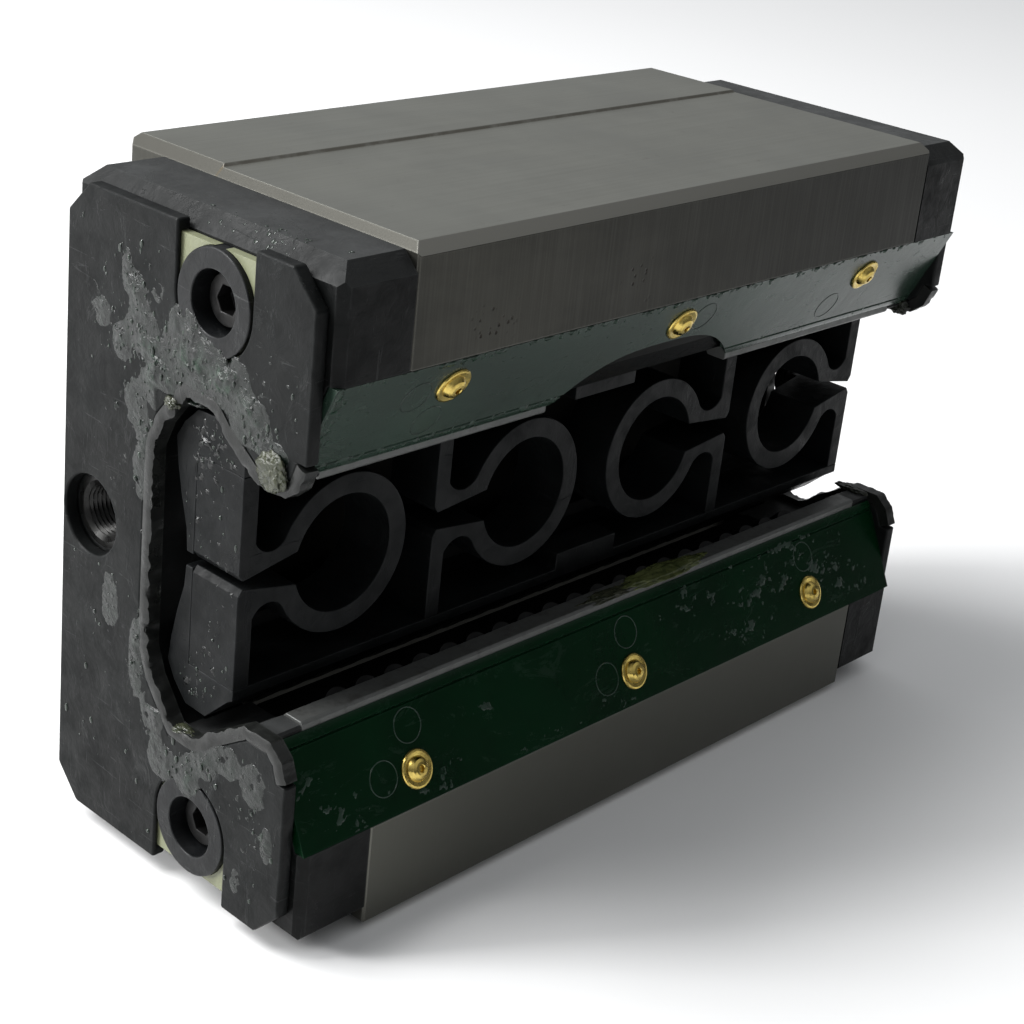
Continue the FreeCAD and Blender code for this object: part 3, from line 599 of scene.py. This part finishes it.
# ---------------------------------------------------------------- threaded port
PORT_PITCH = 0.5
PORT_OUTER_R = 3.78
PORT_CORE_R = 2.52
PORT_BOTTOM = 41.2            # inner end of the insert, along the rail
PORT_LEAD = 0.6               # countersink at the mouth
PORT_SECTORS = 64
THREAD_DEPTH = 0.27


def thread_radius(x, turn):
    """Radius of the port's bore at a place along it and a share of a turn round it."""
    phase = (x / PORT_PITCH - turn) % 1.0
    cut = THREAD_DEPTH * (1 - abs(2 * phase - 1)) ** 0.8
    lead = max(0.0, x - (HEAD_END - PORT_LEAD))
    return max(PORT_CORE_R + cut, PORT_CORE_R - 0.02 + lead * 1.05)


def threaded_insert(side):
    """The port's insert with a helical thread cut in its bore."""
    steps = int((HEAD_END - PORT_BOTTOM) / PORT_PITCH * 10)
    bm = bmesh.new()

    def ring(x, radius_of):
        points = []
        for sector in range(PORT_SECTORS):
            turn = sector / PORT_SECTORS
            angle = 2 * math.pi * sector / PORT_SECTORS
            radius = radius_of(x, turn)
            points.append(bm.verts.new(at(side * x, PORT[0] + radius * math.cos(angle),
                                          PORT[1] + radius * math.sin(angle))))
        return points

    rings = [ring(PORT_BOTTOM + (HEAD_END - PORT_BOTTOM) * step / steps, thread_radius)
             for step in range(steps + 1)]
    rings += [ring(x, lambda *_: PORT_OUTER_R) for x in (HEAD_END, PORT_BOTTOM)]
    bridge(bm, rings, loop=True)
    face_outward(bm)
    name = END_NAMES[side]
    piece = new_piece("lube_insert_" + name + "_threaded", bm, "insert", CARRIAGE)
    piece.data.set_sharp_from_angle(angle=math.radians(40))
    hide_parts("lube_insert_" + name)


# ---------------------------------------------------------------- moulding marks on the strips
MARK_R = 1.75
MARK_THICK = 0.055
LOWER_MARKS = [(x - 4.3, RIVET_RUN + 0.4) for x in RIVET_X[:2]]
LOWER_MARKS += [(x + 0.1, RIVET_RUN + 4.4) for x in RIVET_X]
UPPER_MARKS = [(RIVET_X[0] - 1.2, 7.7), (RIVET_X[1] + 3.6, RIVET_RUN - 0.2),
               (RIVET_X[2] - 4.0, 7.4), (RIVET_X[0] - 4.4, RIVET_RUN + 0.4)]


def moulding_marks(name, places, upper, look):
    """Thin raised rings left by the ejector pins, half sunk in the strip."""
    bm = bmesh.new()
    around = 56
    section = 6
    for x0, run0 in places:
        rings = []
        for step in range(around):
            angle = 2 * math.pi * step / around
            ring = []
            for k in range(section):
                turn = 2 * math.pi * k / section
                radius = MARK_R + MARK_THICK * 1.3 * math.cos(turn)
                proud = MARK_THICK * math.sin(turn) * 0.9
                ring.append(bm.verts.new(on_strip(x0 + radius * math.cos(angle),
                                                  run0 + radius * math.sin(angle), proud, upper)))
            rings.append(ring)
        bridge(bm, rings, loop=True)
    face_outward(bm)
    new_piece(name, bm, look, CARRIAGE)


# ---------------------------------------------------------------- grease
FILM_SUNK = 0.04              # how deep a film's edge lies in the surface under it


def film(name, place, span_u, span_v, step, thickness, look, body):
    """A closed skin on a surface; its edge is where the thickness falls to zero."""
    count_u = round((span_u[1] - span_u[0]) / step)
    count_v = round((span_v[1] - span_v[0]) / step)
    grid = {}
    for i in range(count_u + 1):
        for j in range(count_v + 1):
            u = span_u[0] + i * step
            v = span_v[0] + j * step
            grid[i, j] = thickness(u, v)
    cells = []
    for i in range(count_u):
        for j in range(count_v):
            corners = ((i, j), (i + 1, j), (i + 1, j + 1), (i, j + 1))
            if max(grid[c] for c in corners) > 0:
                cells.append(corners)
    bm = bmesh.new()
    tops, bottoms = {}, {}

    def vertex(table, key, height):
        if key not in table:
            u = span_u[0] + key[0] * step
            v = span_v[0] + key[1] * step
            table[key] = bm.verts.new(place(u, v, height))
        return table[key]

    edges = {}
    for corners in cells:
        bm.faces.new([vertex(tops, c, max(grid[c], -FILM_SUNK)) for c in corners])
        bm.faces.new([vertex(bottoms, c, -FILM_SUNK - 0.05) for c in reversed(corners)])
        for k in range(4):
            pair = (corners[k], corners[(k + 1) % 4])
            if (pair[1], pair[0]) in edges:
                del edges[pair[1], pair[0]]
            else:
                edges[pair] = True
    for first, second in edges:
        bm.faces.new((tops[first], bottoms[first], bottoms[second], tops[second]))
    face_outward(bm)
    new_piece(name, bm, look, body)


def lump(name, centre, radii, seed, look, body, ruffle):
    """A soft irregular lump; the radii are along the rail, in depth and in height."""
    bm = bmesh.new()
    bmesh.ops.create_icosphere(bm, subdivisions=5, radius=1.0)
    for vert in bm.verts:
        d = vert.co.normalized()
        wave = noise.fractal(d * 1.6 + Vector((seed, 0, 0)), 0.8, 2.1, 4)
        fine = noise.fractal(d * 5.0 + Vector((0, seed, 0)), 0.8, 2.1, 3)
        size = 1 + ruffle * wave + ruffle * 0.14 * fine
        vert.co = at(*(start + part * radius * size
                       for start, part, radius in zip(centre, d, radii)))
    smooth(bm)
    new_piece(name, bm, look, body)


def heap(u, v, blobs):
    """Sum of smooth humps (u, v, reach in u, reach in v, height)."""
    total = 0.0
    for bu, bv, ru, rv, height in blobs:
        gap = math.hypot((u - bu) / ru, (v - bv) / rv)
        if gap < 1:
            share = 1 - gap
            total += height * share * share * (3 - 2 * share)
    return total


def beads(name, place, ground, spots, look, body):
    """Small wet beads: closed squashed balls half sunk in the film or surface under them."""
    bm = bmesh.new()
    for u, v, size, longer, tall in spots:
        lift = max(0.0, ground(u, v))
        ball = bmesh.ops.create_icosphere(bm, subdivisions=2, radius=1.0)["verts"]
        for vert in ball:
            bulge = 1 + 0.25 * rough(vert.co.x + u, vert.co.y + v, vert.co.z, 0.9, 2)
            vert.co = place(u + vert.co.x * size * bulge, v + vert.co.y * size * longer * bulge,
                            lift + vert.co.z * size * tall * bulge)
    smooth(bm)
    new_piece(name, bm, look, body)


def scatter(seed, count, span_u, span_v, density, sizes):
    """Bead places drawn at random, thicker where the density is higher."""
    draw = random.Random(seed)
    spots = []
    while len(spots) < count:
        u = draw.uniform(*span_u)
        v = draw.uniform(*span_v)
        size = sizes[0] + (sizes[1] - sizes[0]) * draw.random() ** 3
        longer = draw.uniform(0.8, 1.9)
        tall = draw.uniform(0.3, 0.55)
        if draw.random() < density(u, v):
            spots.append((u, v, size, longer, tall))
    return spots


# Where grease is heaped on the near end plate: depth, height, reach in each, thickness.
PLATE_HEAPS = [
    (17.6, 55.6, 5.6, 3.8, 0.62), (12.4, 55.2, 4.6, 3.4, 0.58), (21.8, 52.4, 3.6, 4.0, 0.62),
    (8.8, 52.3, 4.0, 3.4, 0.50), (6.0, 49.6, 3.0, 2.9, 0.85), (23.6, 55.2, 3.4, 3.6, 0.42),
    (18.8, 58.2, 3.0, 3.0, 0.40), (25.6, 58.6, 2.6, 4.5, 0.30), (27.4, 54.4, 2.6, 2.6, 0.32),
    (26.8, 61.6, 1.7, 3.6, 0.30), (31.0, 56.4, 2.2, 2.2, 0.26), (24.3, 44.5, 1.9, 6.5, 0.26),
    (25.4, 48.6, 2.4, 4.0, 0.26), (23.9, 23.5, 1.7, 6.5, 0.34), (21.2, 18.0, 2.4, 3.4, 0.40),
    (19.6, 13.8, 2.8, 3.0, 0.40), (15.6, 13.6, 2.6, 3.0, 0.36), (10.2, 18.0, 3.2, 2.6, 0.36),
    (5.6, 17.2, 3.0, 3.2, 0.34), (13.4, 16.0, 3.2, 2.0, 0.32), (3.6, 12.0, 1.2, 2.6, 0.26),
    (28.4, 27.0, 2.4, 6.0, 0.12), (7.6, 6.0, 1.2, 2.2, 0.22), (22.6, 60.6, 1.5, 1.5, 0.24),
]


def from_port(depth, z):
    return math.hypot(depth - PORT[0], z - PORT[1])


def in_bush_slot(depth, z, screw, clear):
    """Whether a place lies in the slot beyond a screw's bush, clear of the bush by a radius."""
    ring = math.hypot(depth - screw[0], z - screw[1])
    beyond = z < screw[1] if screw is SCREW else z > screw[1]
    return ring > clear and beyond and abs(depth - screw[0]) < SLOT_HALF


def plate_edge(depth, z):
    """Distance in from the edges of the near end plate or its lip; negative where it is open."""
    gap = rail_distance(depth, z)
    inside = depth < 13.0 and 24.0 < z < 46.0
    low = 20.0 if depth < 12 else 18.5
    within = low < z < WIDTH - low and depth < 22.2
    if inside or (within and depth > 12 and gap > 1.0):
        return -1.0
    outer = min(depth - 1.9, 36.1 - depth, z - 2.3, WIDTH - 2.3 - z)
    return min(gap - 0.1 if not within else -0.3, outer)


def plate_grease(depth, z):
    """Thickness of the grease heaped on the near end plate."""
    room = plate_edge(depth, z)
    if room < 0:
        return -1.0
    for screw in (SCREW, TOP_SCREW):
        in_head = math.hypot(depth - screw[0], z - screw[1]) < 3.25
        if in_head or in_bush_slot(depth, z, screw, 4.95):
            return -1.0
    if from_port(depth, z) < PORT_KEEP_OUT:
        return -1.0
    coarse = rough(depth, z, 3.0, 2.4, 5)
    fine = rough(depth, z, 8.0, 0.8, 4)
    ridge = 1 - abs(rough(depth, z, 17.0, 1.5, 4))
    base = 0.75 * heap(depth, z, PLATE_HEAPS)
    if base <= 0:
        return -1.0
    value = base * (0.62 + 0.65 * coarse + 0.2 * fine) + base * 0.4 * (ridge - 0.75) - 0.03
    return min(value, room * 0.9 + 0.05)


def plate_specks(depth, z):
    """Scattered crumbs and drag marks over the plate's left half."""
    if plate_edge(depth, z) < 0.5 or plate_grease(depth, z) > 0.02:
        return -1.0
    if from_port(depth, z) < PORT_KEEP_OUT + 0.2:
        return -1.0
    for screw in (SCREW, TOP_SCREW):
        if math.hypot(depth - screw[0], z - screw[1]) < 5.5:
            return -1.0
        if abs(depth - screw[0]) < SLOT_HALF and (z < SCREW[1] or z > TOP_SCREW[1]):
            return -1.0
    zone = heap(depth, z, [(26.0, 56.0, 9.5, 13.0, 1.0), (22.0, 22.0, 7.0, 16.0, 0.7),
                           (6.0, 14.0, 6.0, 10.0, 0.75), (28.0, 38.0, 6.0, 18.0, 0.45),
                           (9.0, 56.0, 7.0, 7.0, 0.5)])
    if zone <= 0:
        return -1.0
    crumbs = rough(depth, z, 31.0, 0.75, 4)
    drags = rough(depth * 1.9, z * 0.75, 41.0, 1.0, 4)
    level = max(crumbs, drags * 0.95) - (0.92 - 0.42 * min(1.0, zone))
    return min(0.22, level * 0.55)


def bead_density(depth, z):
    """Where beads of grease sit on the near end plate and its bushes."""
    if plate_edge(depth, z) < 0.35 or from_port(depth, z) < PORT_KEEP_OUT:
        return 0.0
    for screw in (SCREW, TOP_SCREW):
        ring = math.hypot(depth - screw[0], z - screw[1])
        if ring < 3.4 or abs(ring - 5.05) < 0.3 or in_bush_slot(depth, z, screw, 4.8):
            return 0.0
    return 0.02 + heap(depth, z, [
        (26.5, 57.0, 7.0, 9.0, 0.5), (18.0, 54.5, 10.0, 6.0, 0.6), (7.0, 51.0, 5.0, 4.5, 0.7),
        (24.2, 46.0, 2.4, 9.0, 0.5), (24.0, 24.0, 2.6, 8.0, 0.35), (16.0, 14.5, 9.0, 4.0, 0.45),
        (5.5, 14.5, 4.5, 7.0, 0.35)])


def head_top_density(x, depth):
    """Where beads sit on top of the near head."""
    return heap(x, depth, [(-47.0, 10.0, 2.6, 5.0, 0.9), (-47.2, 17.5, 2.2, 4.0, 0.5),
                           (-45.5, 3.0, 2.0, 2.5, 0.4)])


def face_grease(depth, z):
    """On the near end face of the dummy rail: its top, its slot and its lower point."""
    middle = abs(z - MID_Z)
    if middle < 1.0 or middle > 15.0 or depth < 11.9 or depth > 20.6 - 0.16 * max(0, 12 - middle):
        return -1.0
    if middle > 10.5 and depth < 12.6 + (middle - 11.6) * 0.95:
        return -1.0
    if middle > 12.2 and depth > 20.6 - (middle - 12.2) * 1.3:
        return -1.0
    zone = heap(depth, z, [(16.0, 48.0, 7.0, 6.0, 0.9), (17.5, 42.0, 4.0, 8.0, 0.45),
                           (15.0, 25.5, 3.0, 7.0, 0.45), (17.5, 22.0, 4.0, 3.5, 0.6),
                           (13.0, 35.0, 4.0, 4.0, 0.5)])
    if zone <= 0:
        return -1.0
    level = rough(depth, z, 51.0, 1.0, 5) + 0.6 * rough(depth, z, 57.0, 0.5, 3)
    return min(0.4, (level - (0.85 - 0.8 * zone)) * 0.35)


# Where smears lie on the lower strip: along the rail, across the strip, reach in each, weight.
STRIP_HEAPS = [
    (-30.0, 1.6, 7.0, 2.0, 0.85), (-42.0, 2.6, 6.5, 3.2, 0.75), (-46.5, 6.0, 2.6, 4.0, 0.6),
    (-22.0, 6.0, 3.0, 1.5, 0.5), (-3.5, 1.6, 4.0, 1.8, 0.7), (-14.0, 1.0, 8.0, 1.2, 0.5),
    (12.0, 8.6, 9.0, 2.6, 0.75), (24.0, 6.4, 9.0, 3.6, 0.9), (36.0, 6.0, 8.0, 3.8, 0.9),
    (42.0, 2.8, 6.0, 3.0, 0.8), (20.0, 2.4, 8.0, 1.8, 0.6), (30.0, 9.6, 12.0, 1.4, 0.7),
]


def off_strip(x, run, margin):
    """Whether a place is past a strip's edges or under a rivet's head."""
    rivet = any(math.hypot(x - rx, run - RIVET_RUN) < RIVET_KEEP_OUT for rx in RIVET_X)
    return rivet or run < margin or run > STRIP_W - 0.6 or abs(x) > 48.2


def strip_smear(x, run):
    """Dried milky smears on the lower strip."""
    if off_strip(x, run, 0.15):
        return -1.0
    zone = heap(x, run, STRIP_HEAPS)
    if zone <= 0:
        return -1.0
    level = rough(x * 0.6, run, 61.0, 1.2, 6) + 0.7 * rough(x, run, 67.0, 0.45, 4)
    return min(0.04, (level - (0.82 - 0.9 * zone)) * 0.05)


def upper_smear(x, run):
    """Crumbs along the upper strip's outer edge and a film at its near end."""
    if off_strip(x, run, 0.1):
        return -1.0
    if abs(x - ARCH_X) < ARCH_HALF + 0.5:
        share = min(1.0, abs(x - ARCH_X) / ARCH_HALF)
        if run > ARCH_TOP - 0.4 + (STRIP_W - ARCH_TOP) * share ** 3:
            return -1.0
    edge = bump(run, 0.2, 0.9)
    near_end = bump(x, -48.4, 3.2)
    lip = bump(run, 10.4, 0.7) * 0.8
    zone = max(edge * 0.85, near_end * 0.9, lip if x < -14 else lip * 0.4)
    if zone <= 0:
        return -1.0
    level = rough(x, run, 71.0, 0.7, 5)
    return min(0.16, (level - (0.75 - 0.85 * zone)) * 0.25)


def dummy_density(depth, z):
    """Where beads sit on the dummy's end face: thickest below the arch and at the low point."""
    if face_grease(depth, z) < -0.4:
        return 0.0
    return 0.03 + heap(depth, z, [(15.5, 49.0, 5.0, 6.0, 0.9), (16.5, 22.5, 4.0, 4.0, 0.6),
                                  (14.0, 28.0, 3.0, 5.0, 0.3)])


def bare(u, v):
    """No film under the beads."""
    return 0.0


def on_plate(depth, z, height):
    return at(NEAR_FACE - height, depth, z)


def on_dummy(depth, z, height):
    return at(DUMMY_FACE - height, depth, z)


def on_lower_strip(x, run, height):
    return on_strip(x, run, height, False)


def on_upper_strip(x, run, height):
    return on_strip(x, run, height, True)


def on_head_top(x, depth, height):
    """On the near head's top, which slopes down towards its outer and rail-side edges."""
    slope = max(0.0, HEAD_EDGE - HEAD_END - x, HEAD_EDGE - depth)
    return at(x, depth, HEAD_TOP - slope + height)


for end in (-1, 1):
    torn_lip(end)
    threaded_insert(end)
moulding_marks("strip_marks_lower", LOWER_MARKS, False, "marks")
moulding_marks("strip_marks_upper", UPPER_MARKS, True, "marks_dark")

film("grease_on_plate", on_plate, (1.5, 36.5), (2.0, 68.0), 0.22, plate_grease, "grease", CARRIAGE)
film("grease_specks", on_plate, (1.5, 36.5), (2.0, 68.0), 0.22, plate_specks, "grease", CARRIAGE)
film("grease_on_dummy", on_dummy, (11.0, 22.0), (19.0, 51.0), 0.2, face_grease, "grease_dummy",
     DUMMY)
film("smears_lower_strip", on_lower_strip, (-48.4, 48.4), (0.1, 10.7), 0.22, strip_smear,
     "grease_smear", CARRIAGE)
film("smears_upper_strip", on_upper_strip, (-48.4, 48.4), (0.1, 10.7), 0.22, upper_smear,
     "grease_smear", CARRIAGE)
beads("grease_beads_plate", on_plate, plate_grease,
      scatter(5, 420, (2.5, 35.5), (3.0, 67.0), bead_density, (0.06, 0.30)), "grease_bead",
      CARRIAGE)
beads("grease_beads_head", on_head_top, bare,
      scatter(9, 60, (-48.2, -41.0), (2.0, 22.0), head_top_density, (0.05, 0.2)), "grease_bead",
      CARRIAGE)
beads("grease_beads_dummy", on_dummy, face_grease,
      scatter(12, 90, (11.8, 21.0), (19.5, 50.5), dummy_density, (0.06, 0.22)), "grease_bead",
      DUMMY)
lump("grease_tip", (-50.45, 5.6, 49.2), (0.6, 1.9, 1.7), 3.0, "grease_cream", CARRIAGE, 0.3)
lump("grease_corner", (-50.2, 20.0, 50.8), (0.5, 0.9, 0.6), 5.0, "grease_cream", CARRIAGE, 0.32)
lump("grease_corner_inner", (-48.8, 17.3, 51.5), (1.1, 1.3, 0.4), 8.0, "grease", CARRIAGE, 0.35)
lump("grease_floor", (-49.5, 17.0, 17.75), (0.8, 1.8, 0.35), 7.0, "grease_cream", CARRIAGE, 0.32)
lump("grease_heap", (9.0, 6.2, 22.6), (7.5, 1.5, 0.42), 11.0, "grease_yellow", CARRIAGE, 0.3)
lump("grease_heap_pale", (-0.5, 5.9, 22.6), (4.5, 1.0, 0.26), 13.0, "grease_cream", CARRIAGE, 0.4)
lump("grease_far_web", (49.6, 20.5, 33.0), (0.8, 1.45, 3.3), 19.0, "grease_dark", DUMMY, 0.1)
lump("grease_far_tip", (48.4, 5.4, 47.6), (0.9, 1.4, 1.0), 15.0, "grease_dark", CARRIAGE, 0.3)
lump("grease_far_lug", (48.6, 7.4, 22.55), (0.9, 2.2, 0.4), 17.0, "grease_dark", CARRIAGE, 0.3)


# ---------------------------------------------------------------- stage, light and camera
WORLD_HORIZON = 0.06          # the sky's strength level, overhead, and added left and behind
WORLD_ZENITH = 0.55
WORLD_LEFT = 0.12
WORLD_BACK = 0.22
CAMERA_ANGLES = (47.81, 21.41, 5.71)      # azimuth, elevation and roll, in degrees
CAMERA_PLACE = (-0.15681, -0.13481, 0.11815)
CAMERA_LENS = 70.43
CAMERA_SHIFT = (0.034, -0.088)


def floor():
    """A plain pale floor under the object."""
    size = 3.0
    mesh = bpy.data.meshes.new("floor")
    corners = [(-size, -size, 0), (size, -size, 0), (size, size, 0), (-size, size, 0)]
    mesh.from_pydata(corners, [], [(0, 1, 2, 3)])
    obj = bpy.data.objects.new("floor", mesh)
    bpy.context.scene.collection.objects.link(obj)
    look = Look("floor", 0.7)
    shade = look.mix(look.noise(300, 2), (0.80, 0.80, 0.80), (0.84, 0.84, 0.84))
    dress(obj, look.done(shade))


def area_light(name, place, target, size, power):
    """A square light that faces its target."""
    data = bpy.data.lights.new(name, "AREA")
    data.shape = "SQUARE"
    data.size = size
    data.energy = power
    obj = bpy.data.objects.new(name, data)
    obj.location = place
    obj.rotation_mode = "QUATERNION"
    obj.rotation_quaternion = (Vector(target) - Vector(place)).to_track_quat("-Z", "Y")
    bpy.context.scene.collection.objects.link(obj)


def camera():
    """The camera at the photograph's viewing angle."""
    azimuth, elevation, roll = (math.radians(a) for a in CAMERA_ANGLES)
    toward = Vector((math.sin(azimuth) * math.cos(elevation),
                     math.cos(azimuth) * math.cos(elevation), -math.sin(elevation)))
    right = toward.cross(Vector((0, 0, 1))).normalized()
    upward = right.cross(toward)
    side = right * math.cos(roll) + upward * math.sin(roll)
    top = upward * math.cos(roll) - right * math.sin(roll)
    data = bpy.data.cameras.new("camera")
    data.sensor_width = 36.0
    data.lens = CAMERA_LENS
    data.shift_x, data.shift_y = CAMERA_SHIFT
    data.clip_start = 0.01
    data.clip_end = 20.0
    obj = bpy.data.objects.new("camera", data)
    place = Matrix((side, top, -toward)).transposed().to_4x4()
    place.translation = Vector(CAMERA_PLACE)
    obj.matrix_world = place
    bpy.context.scene.collection.objects.link(obj)
    bpy.context.scene.camera = obj


def studio_world():
    """Soft light from above and the left, dim towards the front right; plain pale to the eye."""
    world = bpy.data.worlds.new("studio")
    world.use_nodes = True
    tree = world.node_tree
    out = tree.nodes["World Output"]
    lit = tree.nodes["Background"]
    seen = tree.nodes.new("ShaderNodeBackground")
    seen.inputs["Color"].default_value = (0.93, 0.94, 0.95, 1)
    split = tree.nodes.new("ShaderNodeSeparateXYZ")
    tree.links.new(tree.nodes.new("ShaderNodeTexCoord").outputs["Generated"], split.inputs[0])

    def ramp(socket, low, high, to_low, to_high):
        node = tree.nodes.new("ShaderNodeMapRange")
        node.interpolation_type = "SMOOTHSTEP"
        tree.links.new(socket, node.inputs["Value"])
        for name, number in (("From Min", low), ("From Max", high), ("To Min", to_low),
                             ("To Max", to_high)):
            node.inputs[name].default_value = number
        return node.outputs["Result"]

    def add(first, second):
        node = tree.nodes.new("ShaderNodeMath")
        tree.links.new(first, node.inputs[0])
        tree.links.new(second, node.inputs[1])
        return node.outputs[0]

    overhead = ramp(split.outputs[2], 0.1, 0.9, WORLD_HORIZON, WORLD_ZENITH)
    from_left = ramp(split.outputs[0], 0.2, -0.9, 0.0, WORLD_LEFT)
    behind = ramp(split.outputs[1], 0.0, 0.7, 0.0, WORLD_BACK)
    lit.inputs["Color"].default_value = (0.96, 0.98, 1.0, 1)
    tree.links.new(add(overhead, add(from_left, behind)), lit.inputs["Strength"])
    mix = tree.nodes.new("ShaderNodeMixShader")
    tree.links.new(tree.nodes.new("ShaderNodeLightPath").outputs["Is Camera Ray"], mix.inputs[0])
    tree.links.new(lit.outputs[0], mix.inputs[1])
    tree.links.new(seen.outputs[0], mix.inputs[2])
    tree.links.new(mix.outputs[0], out.inputs["Surface"])
    bpy.context.scene.world = world


floor()
middle = (0.0, 0.0, MID_Z * MM)
area_light("key", (-0.42, 0.38, 0.72), middle, 0.5, 10.0)
area_light("left", (-0.75, 0.5, 0.34), middle, 0.2, 8.0)
studio_world()
bpy.context.scene.view_settings.view_transform = "Standard"
camera()
